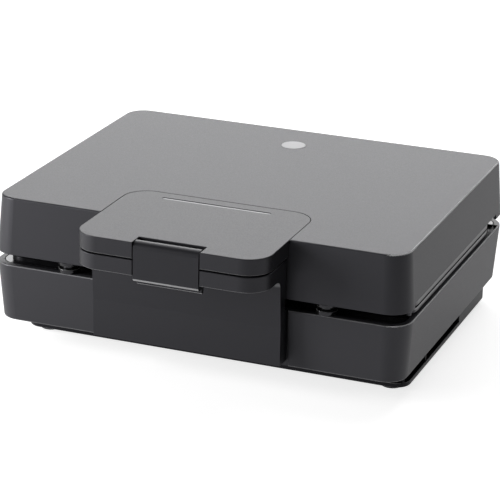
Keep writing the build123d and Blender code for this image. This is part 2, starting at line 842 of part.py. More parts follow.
# Base shell: drafted wall with a rim and a ledge for the deck, and a recess for the block in front
block_bottom = base_bottom + block_lift
block_screw_spots = [
    (x * block_screw_x, block_bottom + block_screw_low + step * block_screw_pitch)
    for x in (-1, 1)
    for step in (0, 1)
]
side_boss_spots = [(x * side_boss_x, y * side_boss_y) for x, y in corner_signs]
recess_width = handle_width + 2 * block_side_gap
with BuildPart() as base_cavity:
    with BuildSketch(level(base_bottom)):
        RectangleRounded(*housing_size(base_bottom, wall))
    with BuildSketch(level(ledge_bottom)):
        RectangleRounded(*housing_size(ledge_bottom, wall))
    loft(ruled=True)
    with BuildSketch(level(cover_flange_top)):
        with Locations((0, recess_plane)):
            Rectangle(recess_width + 2 * wall, 2 * wall)
    extrude(amount=base_height, mode=Mode.SUBTRACT)
    with BuildSketch(level(cover_flange_top)):
        with Locations(*side_boss_spots):
            Circle(boss_radius)
    extrude(amount=base_height, mode=Mode.SUBTRACT)

with BuildPart() as base_shell:
    with BuildSketch(level(base_bottom)):
        RectangleRounded(*housing_size(base_bottom))
    with BuildSketch(level(base_top)):
        RectangleRounded(*housing_size(base_top))
    loft(ruled=True)
    fillet(base_shell.faces().sort_by(Axis.Z)[0].edges(), base_edge_round)
    fillet(base_shell.faces().sort_by(Axis.Z)[-1].edges(), base_edge_round)
    add(base_cavity.part, mode=Mode.SUBTRACT)
    with BuildSketch(level(ledge_bottom)):
        RectangleRounded(*housing_size(base_top, rim_width + ledge_width))
        with Locations(*side_boss_spots):
            Circle(boss_radius, mode=Mode.SUBTRACT)
    extrude(amount=ledge_thickness, mode=Mode.SUBTRACT)
    with BuildSketch(level(deck_seat)):
        RectangleRounded(*housing_size(base_top, rim_width))
    extrude(amount=deck_thickness, mode=Mode.SUBTRACT)
    with BuildSketch(level(deck_seat)):
        with Locations((0, plate_rear + deck_pocket_gap)):
            with GridLocations(housing_width - 2 * rim_width + rim_pocket_width, 0, 2, 1):
                Rectangle(rim_pocket_width, deck_pocket_length)
    extrude(amount=deck_thickness, mode=Mode.SUBTRACT)
    for height in (base_bottom, base_top):
        with BuildSketch(level(height)):
            with BuildLine():
                Polyline(*recess_outline(height), close=True)
            make_face()
    loft(ruled=True, mode=Mode.SUBTRACT)
    with BuildSketch(level(cover_flange_top)):
        with Locations(*side_boss_spots):
            Circle(screw_pilot_radius)
    extrude(amount=self_tap_depth, mode=Mode.SUBTRACT)
    with BuildSketch(level(deck_seat)):
        with Locations(*side_boss_spots):
            Circle(screw_pilot_radius)
    extrude(amount=-self_tap_depth, mode=Mode.SUBTRACT)
    with BuildSketch(looking_back(recess_plane)):
        with Locations(*block_screw_spots):
            Circle(screw_hole_radius)
    extrude(amount=-2 * wall, mode=Mode.SUBTRACT)
    with BuildSketch(looking_forward(rear)):
        for x in (-hinge_x, hinge_x):
            with Locations((x, base_top - hinge_bracket_height * 2 / 3)):
                with GridLocations(hinge_screw_pitch, 0, 2, 1):
                    Circle(screw_hole_radius)
        with Locations((-gland_x, base_bottom + gland_height)):
            Circle(gland_body_radius)
    extrude(amount=2.5 * wall, both=True, mode=Mode.SUBTRACT)
write(base_shell, "base_shell")

# Base deck: glossy panel inside the rim that carries the lower plate
lower_seat_height = lower_plate_face - flange_thickness - base_top
with BuildPart() as base_deck:
    with BuildSketch(level(deck_seat)):
        RectangleRounded(*housing_size(base_top, rim_width + groove))
        with Locations((0, plate_y)):
            RectangleRounded(opening_width, opening_length, opening_corner, mode=Mode.SUBTRACT)
    extrude(amount=deck_thickness)
    with BuildSketch(level(base_top)):
        with Locations(*seat_spots):
            Circle(seat_radius)
    extrude(amount=lower_seat_height)
    with BuildSketch(level(deck_seat)):
        with Locations(*seat_spots):
            Circle(screw_hole_radius)
    extrude(amount=deck_thickness + lower_seat_height, mode=Mode.SUBTRACT)
    with BuildSketch(level(deck_seat)):
        with Locations(*side_boss_spots):
            Circle(screw_hole_radius)
        with Locations(*bumper_stem_spots):
            Circle(bumper_stem_radius)
        with Locations((0, plate_rear + deck_pocket_gap)):
            with GridLocations(plate_width - 2 * seat_inset + deck_pocket_width / 2, 0, 2, 1):
                Rectangle(deck_pocket_width, deck_pocket_length)
    extrude(amount=deck_thickness, mode=Mode.SUBTRACT)
    with BuildSketch(level(base_top)):
        with Locations(*side_boss_spots):
            Circle(screw_head_radius + fit_gap)
    extrude(amount=-deck_thickness / 2, mode=Mode.SUBTRACT)
write(base_deck, "base_deck")

# Deck screws have low flat heads that end flush with the deck, under the plate's flange
with BuildPart() as deck_screws:
    with BuildSketch(level(base_top)):
        with Locations(*side_boss_spots):
            Circle(screw_head_radius)
    extrude(amount=-deck_thickness / 2)
    with BuildSketch(level(base_top)):
        with Locations(*side_boss_spots):
            Circle(screw_radius)
    extrude(amount=-self_tap_depth)
    with BuildSketch(level(base_top)):
        with Locations(*side_boss_spots):
            Rectangle(screw_drive_length, screw_drive_width)
            Rectangle(screw_drive_width, screw_drive_length)
    extrude(amount=-screw_head_height / 4, mode=Mode.SUBTRACT)
write(deck_screws, "deck_screws")

lower_plate = grill_plate(lower_face)
write(lower_plate, "lower_plate")
lower_heater = heater(lower_face)
write(lower_heater, "lower_heater")
lower_reflector = reflector(lower_face)
write(lower_reflector, "lower_reflector")
lower_reflector_screws = reflector_screws(lower_face)
write(lower_reflector_screws, "lower_reflector_screws")
lower_thermostat = thermostat(lower_face)
write(lower_thermostat, "lower_thermostat")
lower_plate_screws = screws(
    ceiling(deck_seat),
    seat_spots,
    deck_thickness + lower_seat_height + flange_thickness - 2 * plate_seal_gap,
)
write(lower_plate_screws, "lower_plate_screws")

with BuildPart() as thermal_fuse:
    with BuildSketch(
        Plane(
            origin=(
                -thermostat_x,
                housing_y + plate_y + thermostat_y,
                lower_plate_face - pad_depth - fuse_radius,
            ),
            z_dir=(1, 0, 0),
        )
    ):
        Circle(fuse_radius)
    extrude(amount=fuse_length / 2, both=True)
    chamfer(thermal_fuse.edges().filter_by(GeomType.CIRCLE), fuse_radius / 4)
write(thermal_fuse, "thermal_fuse")

# Lower handle: flat grip on a leaning block that sits in the recess of the base
neck_rear = front - neck_clearance
block_front = front - block_reach
block_front_top = block_front - block_lean
with BuildPart() as lower_handle:
    with BuildSketch(level(lower_handle_bottom)):
        with Locations((0, handle_middle)):
            RectangleRounded(handle_width, handle_length, handle_corner)
    extrude(amount=lower_handle_thickness)
    fillet(lower_handle.faces().sort_by(Axis.Z)[-1].edges(), handle_edge_round)
    fillet(lower_handle.faces().sort_by(Axis.Z)[0].edges(), handle_edge_round)
    with BuildSketch(level(lower_handle_bottom)):
        with Locations((0, neck_rear + handle_length / 2)):
            Rectangle(2 * handle_width, handle_length)
    extrude(amount=lower_handle_thickness, mode=Mode.SUBTRACT)
    with BuildSketch(side_view(0)):
        with BuildLine():
            fillet_start = (block_front_top, lower_handle_bottom - block_fillet)
            fillet_end = (block_front_top - block_fillet, lower_handle_bottom)
            Polyline(
                fillet_end,
                (fillet_end[0], lower_handle_bottom + wall),
                (neck_rear, lower_handle_bottom + wall),
                (neck_rear, base_top),
                (recess_plane, base_top),
                (recess_plane, block_bottom),
                (block_front, block_bottom),
                (block_front, base_bottom + block_straight),
                fillet_start,
            )
            CenterArc(
                (block_front_top - block_fillet, lower_handle_bottom - block_fillet), block_fillet, 0, 90
            )
        make_face()
    extrude(amount=handle_width / 2, both=True)
    with BuildSketch(level(lower_handle_bottom)):
        with Locations((0, handle_front - handle_length)):
            Rectangle(latch_width + 2 * latch_side_gap, 2 * (handle_length + notch_depth))
    extrude(amount=lower_handle_thickness, mode=Mode.SUBTRACT)
    with BuildSketch(level(lower_handle_bottom)):
        with Locations((0, notch_back - catch_reach / 2)):
            Rectangle(latch_width + 2 * latch_side_gap, catch_reach)
    extrude(amount=catch_height)
    with BuildSketch(looking_back(recess_plane)):
        with Locations((0, (block_bottom + base_top) / 2)):
            Rectangle(handle_width - 2 * wall, base_top - block_bottom - 2 * wall)
        with Locations(*block_screw_spots):
            Circle(block_boss_radius, mode=Mode.SUBTRACT)
    extrude(amount=block_recess + block_reach - wall, mode=Mode.SUBTRACT)
    with BuildSketch(looking_back(recess_plane)):
        with Locations(*block_screw_spots):
            Circle(screw_pilot_radius)
    extrude(amount=self_tap_depth, mode=Mode.SUBTRACT)
write(lower_handle, "lower_handle")

lower_handle_screws = screws(
    looking_forward(recess_plane + wall), block_screw_spots, wall + self_tap_depth * 0.9
)
write(lower_handle_screws, "lower_handle_screws")

# Bottom cover: plinth floor with a lip, a neck, and a flange that closes the base from below
plinth_width = housing_width - 2 * plinth_side_inset
plinth_length = plinth_rear - plinth_front
neck_width = plinth_width - 2 * neck_inset
neck_length = plinth_length - 2 * neck_inset
rear_step_y = rib_middle + rib_pitch / 2 - rib_thickness / 2
foot_spots = {
    "front_left": (-(plinth_width / 2 - foot_from_side), plinth_front + foot_from_end),
    "front_right": (plinth_width / 2 - foot_from_side, plinth_front + foot_from_end),
    "rear_left": (-(plinth_width / 2 - foot_from_side), plinth_rear - foot_from_end),
    "rear_right": (plinth_width / 2 - foot_from_side, plinth_rear - foot_from_end),
}
with BuildPart() as bottom_cover:
    with BuildSketch(level(plinth_bottom)):
        with Locations((0, plinth_y)):
            RectangleRounded(plinth_width, plinth_length, plinth_corner)
    extrude(amount=plinth_lip_height + plinth_floor)
    fillet(bottom_cover.faces().sort_by(Axis.Z)[0].edges(), plinth_edge_round)
    fillet(bottom_cover.faces().sort_by(Axis.Z)[-1].edges(), plinth_edge_round)
    with BuildSketch(level(plinth_top)):
        with Locations((0, plinth_y)):
            RectangleRounded(
                plinth_width - 2 * plinth_lip_width,
                plinth_length - 2 * plinth_lip_width,
                plinth_corner - plinth_lip_width,
            )
    extrude(amount=plinth_lip_height, mode=Mode.SUBTRACT)
    with BuildSketch(level(plinth_top)):
        with Locations((0, plinth_y)):
            RectangleRounded(neck_width, neck_length, plinth_corner)
            with GridLocations(rib_pitch, 0, 3, 1):
                Rectangle(rib_thickness, plinth_length - plinth_lip_width)
        with Locations((0, rib_middle)):
            with GridLocations(0, rib_pitch, 1, 2):
                Rectangle(plinth_width - plinth_lip_width, rib_thickness)
        for x, y in corner_signs:
            corner_spot = (
                x * (plinth_width / 2 - corner_rib_inset),
                plinth_y + y * (plinth_length / 2 - corner_rib_inset),
            )
            with Locations(corner_spot):
                Rectangle(corner_rib_length, rib_thickness, rotation=45 * x * y)
    extrude(amount=cover_flange_bottom - plinth_top)
    with BuildSketch(level(plinth_top)):
        with Locations((0, plinth_y)):
            RectangleRounded(plinth_width, plinth_length, plinth_corner)
            RectangleRounded(
                plinth_width - 2 * neck_wall,
                plinth_length - 2 * neck_wall,
                plinth_corner - neck_wall,
                mode=Mode.SUBTRACT,
            )
        with Locations((0, rear_step_y - plinth_length / 2)):
            Rectangle(plinth_width, plinth_length, mode=Mode.SUBTRACT)
    extrude(amount=cover_flange_bottom - plinth_top)
    with BuildSketch(level(cover_flange_bottom - screw_head_height - fit_gap)):
        with Locations(*side_boss_spots):
            Circle(screw_head_radius + fit_gap)
    extrude(amount=screw_head_height + fit_gap, mode=Mode.SUBTRACT)
    with BuildSketch(level(cover_flange_bottom)):
        RectangleRounded(*housing_size(base_bottom, wall + fit_gap))
    extrude(amount=cover_flange)
    with BuildSketch(level(plinth_top)):
        with Locations((0, plinth_y)):
            RectangleRounded(
                neck_width - 2 * neck_wall, neck_length - 2 * neck_wall, plinth_corner - neck_wall
            )
    extrude(amount=cover_flange_top - plinth_top, mode=Mode.SUBTRACT)
    with BuildSketch(level(cover_flange_bottom)):
        with Locations(*side_boss_spots):
            Circle(screw_hole_radius)
    extrude(amount=cover_flange, mode=Mode.SUBTRACT)
    with BuildSketch(level(plinth_bottom)):
        with Locations(*foot_spots.values()):
            Circle(foot_stem_radius)
        with Locations((0, plinth_y)):
            with GridLocations(vent_pitch_x, vent_pitch_y, 3, 6):
                SlotOverall(vent_length, vent_width)
    extrude(amount=plinth_floor, mode=Mode.SUBTRACT)
write(bottom_cover, "bottom_cover")

cover_screws = screws(
    ceiling(cover_flange_bottom), side_boss_spots, cover_flange + self_tap_depth * 0.9
)
write(cover_screws, "cover_screws")

for foot_name, foot_spot in foot_spots.items():
    with BuildPart() as foot:
        with BuildSketch(level(0)):
            with Locations(foot_spot):
                Circle(foot_radius)
        extrude(amount=foot_height)
        fillet(foot.faces().sort_by(Axis.Z)[0].edges(), foot_edge)
        with BuildSketch(level(foot_height)):
            with Locations(foot_spot):
                Circle(foot_stem_radius)
        extrude(amount=plinth_floor)
    write(foot, f"foot_{foot_name}")

# Terminal block on the floor of the cover, with leads up to the heater tails
terminal_y = plinth_rear - neck_inset - neck_wall - terminal_rear_gap - terminal_width / 2
with BuildPart() as terminal_block:
    with BuildSketch(level(plinth_top)):
        with Locations((terminal_x, terminal_y)):
            Rectangle(terminal_length, terminal_width)
    extrude(amount=terminal_height)
    chamfer(terminal_block.edges().filter_by(Axis.Z), foot_edge)
    with BuildSketch(level(plinth_top + terminal_height)):
        with Locations((terminal_x, terminal_y)):
            with GridLocations(terminal_length / 3, terminal_width / 2, 3, 2):
                Circle(screw_head_radius)
    extrude(amount=-terminal_height / 3, mode=Mode.SUBTRACT)
write(terminal_block, "terminal_block")

heater_z = lower_plate_face - pad_depth - heater_gap - heater_radius
heater_end_y = plate_y + pocket_pitch_y / 2 + heater_tail + heater_pin_length
terminal_well = plinth_top + terminal_height * 2 / 3
with BuildPart() as internal_leads:
    for side, column in ((-1, -1), (1, 0)):
        start_x = terminal_x + column * terminal_length / 3
        start_y = terminal_y + terminal_width / 4
        end_x = side * heater_tail_pitch / 2
        turn_y = heater_end_y + lead_bend * 1.6
        route = [
            (start_x, housing_y + start_y, terminal_well),
            (start_x, housing_y + start_y, heater_z - 2 * lead_bend * (1.2 + side / 4)),
            (end_x, housing_y + turn_y, heater_z - lead_bend * (1.2 + side / 4)),
            (end_x, housing_y + turn_y, heater_z),
            (end_x, housing_y + heater_end_y, heater_z),
        ]
        with BuildLine() as lead_path:
            FilletPolyline(*route, radius=lead_bend / 2)
        with BuildSketch(Plane(origin=route[0], z_dir=(0, 0, 1))):
            Circle(lead_radius)
        sweep(path=lead_path.line)
write(internal_leads, "internal_leads")

# Cord gland through the rear wall, with its nut inside
gland_z = base_bottom + gland_height
gland_seat = rear_wall(gland_z + gland_flange_radius)
gland_inner = rear_wall(gland_z - gland_flange_radius) - wall
with BuildPart() as cord_gland:
    with BuildSketch(looking_forward(gland_seat)):
        with Locations((-gland_x, gland_z)):
            Circle(gland_flange_radius)
    extrude(amount=gland_flange_thickness)
    chamfer(cord_gland.faces().sort_by(Axis.Y)[-1].edges(), foot_edge)
    with BuildSketch(looking_forward(gland_seat)):
        with Locations((-gland_x, gland_z)):
            Circle(gland_body_radius)
    extrude(amount=-(gland_seat - gland_inner + gland_nut_thickness))
    with BuildSketch(looking_forward(gland_seat + gland_flange_thickness)):
        with Locations((-gland_x, gland_z)):
            Circle(gland_bore_radius)
    extrude(
        amount=-(gland_flange_thickness + gland_seat - gland_inner + gland_nut_thickness), mode=Mode.SUBTRACT
    )
write(cord_gland, "cord_gland")

with BuildPart() as gland_nut:
    with BuildSketch(looking_forward(gland_inner)):
        with Locations((-gland_x, gland_z)):
            RegularPolygon(gland_flange_radius, 6)
            Circle(gland_body_radius, mode=Mode.SUBTRACT)
    extrude(amount=-gland_nut_thickness)
write(gland_nut, "gland_nut")

# Hinges: bracket on the base, leaf on the lid and a pin through both
leaf_width = hinge_width - 2 * (hinge_ear + hinge_side_gap)
bracket_bottom = base_top - hinge_bracket_height
web_top = hinge_z - hinge_web_drop
leaf_bottom = lid_bottom + fit_gap
leaf_top = lid_bottom + hinge_leaf_height
leaf_screw_z = lid_bottom + hinge_leaf_height * 2 / 3
bracket_screw_z = base_top - hinge_bracket_height * 2 / 3
leaf_seat = rear_wall(leaf_screw_z) + hinge_plate_thickness / 2
bracket_seat = rear_wall(bracket_screw_z) + hinge_plate_thickness / 2
for hinge_name, hinge_side in (("left", -1), ("right", 1)):
    with BuildPart() as hinge_bracket:
        with BuildSketch(side_view(hinge_side * hinge_x)):
            with BuildLine():
                Polyline(
                    (rear_wall(bracket_bottom), bracket_bottom),
                    (rear_wall(bracket_bottom) + hinge_plate_thickness, bracket_bottom),
                    (hinge_y + hinge_barrel_radius, hinge_z),
                    (hinge_y - hinge_barrel_radius, hinge_z),
                    (rear, base_top),
                    close=True,
                )
            make_face()
            with Locations((hinge_y, hinge_z)):
                Circle(hinge_barrel_radius)
        extrude(amount=hinge_width / 2, both=True)
        with BuildSketch(side_view(hinge_side * hinge_x)):
            with Locations((rear + housing_depth / 2, web_top + housing_depth / 2)):
                Rectangle(housing_depth + 4 * hinge_plate_thickness, housing_depth)
            with Locations((rear_wall(web_top) + hinge_plate_thickness + housing_depth / 2, base_top)):
                Rectangle(housing_depth, housing_depth)
        extrude(amount=leaf_width / 2 + hinge_side_gap, both=True, mode=Mode.SUBTRACT)
        with BuildSketch(side_view(hinge_side * hinge_x)):
            with Locations((hinge_y, hinge_z)):
                Circle(hinge_pin_radius)
        extrude(amount=hinge_width / 2, both=True, mode=Mode.SUBTRACT)
        with BuildSketch(looking_forward(bracket_seat)):
            with Locations((-hinge_side * hinge_x, bracket_screw_z)):
                with GridLocations(hinge_screw_pitch, 0, 2, 1):
                    Circle(screw_head_radius + fit_gap)
        extrude(amount=housing_depth, mode=Mode.SUBTRACT)
        with BuildSketch(looking_forward(bracket_seat)):
            with Locations((-hinge_side * hinge_x, bracket_screw_z)):
                with GridLocations(hinge_screw_pitch, 0, 2, 1):
                    Circle(screw_hole_radius)
        extrude(amount=-hinge_plate_thickness, mode=Mode.SUBTRACT)
    write(hinge_bracket, f"hinge_bracket_{hinge_name}")
    with BuildPart() as hinge_leaf:
        with BuildSketch(side_view(hinge_side * hinge_x)):
            with BuildLine():
                Polyline(
                    (rear_wall(leaf_bottom), leaf_bottom),
                    (rear_wall(leaf_top), leaf_top),
                    (rear_wall(leaf_top) + hinge_plate_thickness, leaf_top),
                    (rear_wall(leaf_bottom) + hinge_plate_thickness, leaf_bottom + hinge_barrel_radius),
                    (hinge_y + hinge_barrel_radius, hinge_z),
                    (hinge_y - hinge_barrel_radius, hinge_z),
                    close=True,
                )
            make_face()
            with Locations((hinge_y, hinge_z)):
                Circle(hinge_barrel_radius)
                Circle(hinge_pin_radius + pin_clearance, mode=Mode.SUBTRACT)
        extrude(amount=leaf_width / 2, both=True)
        with BuildSketch(looking_forward(leaf_seat)):
            with Locations((-hinge_side * hinge_x, leaf_screw_z)):
                Rectangle(hinge_width, 3 * screw_head_radius)
        extrude(amount=-2 * hinge_plate_thickness)
        with BuildSketch(side_view(hinge_side * hinge_x)):
            with BuildLine():
                Polyline(
                    (rear_wall(lid_bottom), lid_bottom),
                    (rear_wall(lid_top), lid_top),
                    (front, lid_top),
                    (front, lid_bottom),
                    close=True,
                )
            make_face()
        extrude(amount=hinge_width, both=True, mode=Mode.SUBTRACT)
        with BuildSketch(looking_forward(leaf_seat)):
            with Locations((-hinge_side * hinge_x, leaf_screw_z)):
                with GridLocations(hinge_screw_pitch, 0, 2, 1):
                    Circle(screw_hole_radius)
        extrude(amount=-hinge_plate_thickness, mode=Mode.SUBTRACT)
        with BuildSketch(looking_forward(leaf_seat)):
            with Locations((-hinge_side * hinge_x, leaf_screw_z)):
                with GridLocations(hinge_screw_pitch, 0, 2, 1):
                    Circle(screw_head_radius + fit_gap)
        extrude(amount=housing_depth, mode=Mode.SUBTRACT)
    write(hinge_leaf, f"hinge_leaf_{hinge_name}")
    with BuildPart() as hinge_pin:
        with BuildSketch(side_view(hinge_side * hinge_x)):
            with Locations((hinge_y, hinge_z)):
                Circle(hinge_pin_radius)
        extrude(amount=hinge_width / 2, both=True)
    write(hinge_pin, f"hinge_pin_{hinge_name}")

hinge_screw_xs = [side * hinge_x + end * hinge_screw_pitch / 2 for side in (-1, 1) for end in (-1, 1)]
hinge_screw_length = hinge_plate_thickness / 2 + 2 * wall
bracket_screw_spots = [(x, bracket_screw_z) for x in hinge_screw_xs]
bracket_screws = screws(looking_forward(bracket_seat), bracket_screw_spots, hinge_screw_length)
write(bracket_screws, "hinge_bracket_screws")
leaf_screw_spots = [(x, leaf_screw_z) for x in hinge_screw_xs]
leaf_screws = screws(looking_forward(leaf_seat), leaf_screw_spots, hinge_screw_length)
write(leaf_screws, "hinge_leaf_screws")
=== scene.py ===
import functools
import math

import bpy
from mathutils import Matrix, Vector


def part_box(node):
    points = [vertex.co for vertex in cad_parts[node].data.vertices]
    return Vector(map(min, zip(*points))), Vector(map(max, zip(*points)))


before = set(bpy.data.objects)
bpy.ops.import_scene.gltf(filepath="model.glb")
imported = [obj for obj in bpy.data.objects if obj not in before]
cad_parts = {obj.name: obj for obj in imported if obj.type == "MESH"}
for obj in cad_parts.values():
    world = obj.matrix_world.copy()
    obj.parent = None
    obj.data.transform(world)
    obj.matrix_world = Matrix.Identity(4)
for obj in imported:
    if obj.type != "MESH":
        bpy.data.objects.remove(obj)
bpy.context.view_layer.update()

# Camera, in degrees and metres: it looks from the front right, and stands off from the housing's middle
CAMERA_AZIMUTH = 21.135
CAMERA_ELEVATION = 20.043
CAMERA_ROLL = 1.194
CAMERA_DISTANCE = 1.85077
CAMERA_RIGHT = -0.00401
CAMERA_UP = 0.03538
SENSOR_WIDTH = 36.0
FOCAL_IN_FRAMES = 4.5510

# Studio levels, where 1 is white, and the share of them that reflections show
FLOOR_GREY = 0.62
FLOOR_GLOW = 0.76
FLOOR_GLOSSY_SHARE = 0.68
WORLD_FILL = 0.06
WORLD_GLOSSY_SHARE = 0.15

# The floor reaches this far from the middle, in metres
FLOOR_REACH = 6.0

# Soft lamps: place and target in metres, width and height in metres, and power in watts
SOFTBOXES = {
    "overhead": ((0.0, 0.9, 1.8), (0, 0.1, 0.1), (1.8, 1.4), 18.0),
    "rear_panel": ((-0.9, 2.3, 1.1), (0, 0.1, 0.1), (3.0, 1.4), 42.0),
    "left_fill": ((-1.3, -0.9, 0.5), (0, 0, 0.08), (0.8, 0.8), 30.0),
}

# Rounded edges by the way they face, for the painted highlights: an axis, and limits of the facing direction
# along it
UPWARD_ROUND = ("Z", 0.30, 0.88)
DOWNWARD_ROUND = ("Z", -0.92, -0.25)
TO_THE_RIGHT = ("X", 0.20, 1.50)
LID_EDGE_ROUND = ("Z", 0.45, 0.985)
LID_EDGE_SIDE = ("X", 0.16, 1.50)
ROUND_FADE = 0.08
LID_EDGE_FADE = 0.02

# Outer edges of the cooking plates, bare metal with a painted shade line at the seal and painted highlight
# lines, in metres from the plates' sides and from their sealing plane
PLATE_EDGE_DEPTH = 0.0012
PLATE_EDGE_RANGE = 0.004
PLATE_SEAM_HALF = 0.0006
PLATE_SEAM_FADE_END = PLATE_SEAM_HALF * 1.6
PLATE_SPECULAR = 0.5

# Part of the noise's range that is used
NOISE_LOW = 0.3
NOISE_HIGH = 0.7

# Plastics: a fine and a broad noise share the change of tone, and reflections are slightly cool
FINE_DETAIL = 4.0
FINE_SHARE = 0.55
BROAD_CELLS = 14.0
BROAD_DETAIL = 2.0
BROAD_SHARE = 0.45
PLASTIC_ROUGHNESS_CHANGE = 0.05
PLASTIC_SPECULAR = 0.46
SPECULAR_TINT = (0.93, 0.92, 1.0, 1.0)

# Metals
METAL_DETAIL = 5.0
METAL_DARKEST = 0.8
METAL_ROUGHNESS_CHANGE = 0.07

# Moulded and painted finishes: colour, spread of its tone, roughness, depth of the texture in metres,
# its cells per metre, and the specular level where it isn't the plastics' usual one
MOULDED_FINISHES = {
    # housing_plastic, lid_plastic and handle_plastic are one dark plastic set in three tones as painted
    # light: the housing lighter as painted light from the floor, the lid darker and the handles darkest as
    # painted shade
    "housing_plastic": ((0.0230, 0.0230, 0.0255), 0.06, 0.45, 0.00004, 1500.0),
    "plinth_plastic": ((0.008, 0.008, 0.0095), 0.06, 0.42, 0.00004, 1500.0, 0.20),
    "lid_plastic": ((0.0120, 0.0120, 0.0140), 0.06, 0.45, 0.00004, 1500.0),
    "handle_plastic": ((0.0050, 0.0050, 0.0062), 0.06, 0.45, 0.00004, 1500.0),
    "latch_plastic": ((0.0085, 0.0085, 0.0100), 0.04, 0.38, 0.00002, 1800.0, 0.36),
    "deck_plastic": ((0.009, 0.009, 0.010), 0.1, 0.12, 0.000004, 900.0),
    "rubber": ((0.012, 0.012, 0.012), 0.15, 0.7, 0.00003, 900.0),
    "stop_rubber": ((0.008, 0.008, 0.008), 0.1, 0.16, 0.00001, 900.0),
    "lower_plate_coating": ((0.018, 0.018, 0.019), 0.2, 0.34, 0.00003, 1100.0),
    "upper_plate_coating": ((0.018, 0.018, 0.019), 0.2, 0.34, 0.00003, 1100.0),
    "hinge_paint": ((0.020, 0.020, 0.021), 0.1, 0.4, 0.00004, 1300.0),
    "indicator_lens": ((0.30, 0.30, 0.31), 0.05, 0.10, 0.00001, 900.0),
    "badge_paint": ((0.385, 0.385, 0.39), 0.04, 0.42, 0.00001, 700.0),
    "ceramic": ((0.72, 0.68, 0.60), 0.05, 0.4, 0.00003, 700.0),
    "lamp_tray_plastic": ((0.6, 0.6, 0.57), 0.04, 0.45, 0.00002, 900.0),
    "lead_sleeve": ((0.62, 0.60, 0.55), 0.12, 0.8, 0.00008, 1600.0),
    "red_lamp": ((0.55, 0.03, 0.02), 0.1, 0.15, 0.000005, 500.0),
    "green_lamp": ((0.05, 0.35, 0.06), 0.1, 0.15, 0.000005, 500.0),
}

# Metals: colour, roughness, depth of the grain in metres, its cells per metre, and how much finer it is
# along each axis where it is drawn out
METAL_FINISHES = {
    "screw_steel": ((0.55, 0.55, 0.56), 0.32, 0.000005, 900.0),
    "pin_steel": ((0.6, 0.6, 0.61), 0.25, 0.000004, 600.0, (1, 14, 14)),
    "heater_tube": ((0.32, 0.29, 0.26), 0.45, 0.00001, 500.0),
    "reflector_sheet": ((0.78, 0.78, 0.79), 0.22, 0.000004, 300.0, (1, 18, 1)),
}

# Painted highlights and painted reflections of the lamps and floor on rounded edges, in the order that the
# tones are laid on: finish, colour, the ways that the edges face, and the fade at their limits. An edge
# counts where all bands of one inner list hold.
PAINTED_ROUND_HIGHLIGHTS = [
    ("housing_plastic", (0.16, 0.16, 0.165), [[UPWARD_ROUND], [DOWNWARD_ROUND]], ROUND_FADE),
    ("housing_plastic", (0.80, 0.80, 0.81), [[UPWARD_ROUND, TO_THE_RIGHT]], ROUND_FADE),
    ("plinth_plastic", (0.30, 0.30, 0.305), [[UPWARD_ROUND], [DOWNWARD_ROUND]], ROUND_FADE),
    ("lid_plastic", (0.62, 0.62, 0.63), [[LID_EDGE_ROUND, LID_EDGE_SIDE]], LID_EDGE_FADE),
    ("handle_plastic", (0.20, 0.20, 0.205), [[DOWNWARD_ROUND]], ROUND_FADE),
    ("latch_plastic", (0.42, 0.42, 0.425), [[DOWNWARD_ROUND]], ROUND_FADE),
    ("stop_rubber", (0.10, 0.10, 0.10), [[DOWNWARD_ROUND], [UPWARD_ROUND]], ROUND_FADE),
]

# Tones of the plates' outer edges, bare metal with a painted shade line at the seal and painted highlight
# lines: distance from the sealing plane in metres, and grey level
PLATE_EDGE_BARE_AND_PAINTED_LIGHT_TONES = {
    "lower_plate_coating": [(0.0006, 0.004), (0.0009, 0.50), (0.0019, 0.45), (0.0024, 0.16), (0.0038, 0.06)],
    "upper_plate_coating": [(0.0010, 0.003), (0.0014, 0.06), (0.0024, 0.10), (0.0032, 0.16), (0.0038, 0.16)],
}

# The CAD nodes that have each finish
FINISHED_NODES = {
    "housing_plastic": ["base_shell"],
    "plinth_plastic": ["bottom_cover"],
    "lid_plastic": ["lid_shell"],
    "handle_plastic": ["upper_handle", "lower_handle"],
    "latch_plastic": ["latch_clip"],
    "deck_plastic": ["base_deck", "lid_frame"],
    "rubber": ["foot_front_left", "foot_front_right", "foot_rear_left", "foot_rear_right", "cord_gland"],
    "stop_rubber": ["base_bumper_left", "base_bumper_right", "lid_bumper_left", "lid_bumper_right"],
    "lower_plate_coating": ["lower_plate"],
    "upper_plate_coating": ["upper_plate"],
    "hinge_paint": ["hinge_bracket_left", "hinge_bracket_right", "hinge_leaf_left", "hinge_leaf_right"],
    "indicator_lens": ["indicator_lens"],
    "badge_paint": ["badge_disc"],
    "ceramic": ["terminal_block"],
    "lamp_tray_plastic": ["lamp_tray"],
    "lead_sleeve": ["internal_leads"],
    "red_lamp": ["power_lamp"],
    "green_lamp": ["ready_lamp"],
    "screw_steel": ["gland_nut", *[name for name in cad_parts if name.endswith("_screws")]],
    "pin_steel": ["hinge_pin_left", "hinge_pin_right", "latch_pin"],
    "heater_tube": ["lower_heater", "upper_heater"],
    "reflector_sheet": [
        "lower_reflector", "upper_reflector", "lower_thermostat", "upper_thermostat", "thermal_fuse"
    ],
}

# Places that the frame gives
shell_low, shell_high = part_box("base_shell")
middle_x = (shell_low.x + shell_high.x) / 2
middle_y = (shell_low.y + shell_high.y) / 2
housing_middle = Vector((middle_x, middle_y, shell_low.z))
lower_plate_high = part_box("lower_plate")[1]
upper_plate_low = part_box("upper_plate")[0]
plate_side = lower_plate_high.x
plate_seal = (lower_plate_high.z + upper_plate_low.z) / 2


def camera_axes():
    """Right, up and backward directions of the camera."""
    azimuth = math.radians(CAMERA_AZIMUTH)
    elevation = math.radians(CAMERA_ELEVATION)
    roll = math.radians(CAMERA_ROLL)
    flat = math.cos(elevation)
    back = Vector((math.sin(azimuth) * flat, -math.cos(azimuth) * flat, math.sin(elevation)))
    level_right = Vector((math.cos(azimuth), math.sin(azimuth), 0))
    level_up = back.cross(level_right)
    right = level_right * math.cos(roll) + level_up * math.sin(roll)
    up = level_up * math.cos(roll) - level_right * math.sin(roll)
    return right, up, back


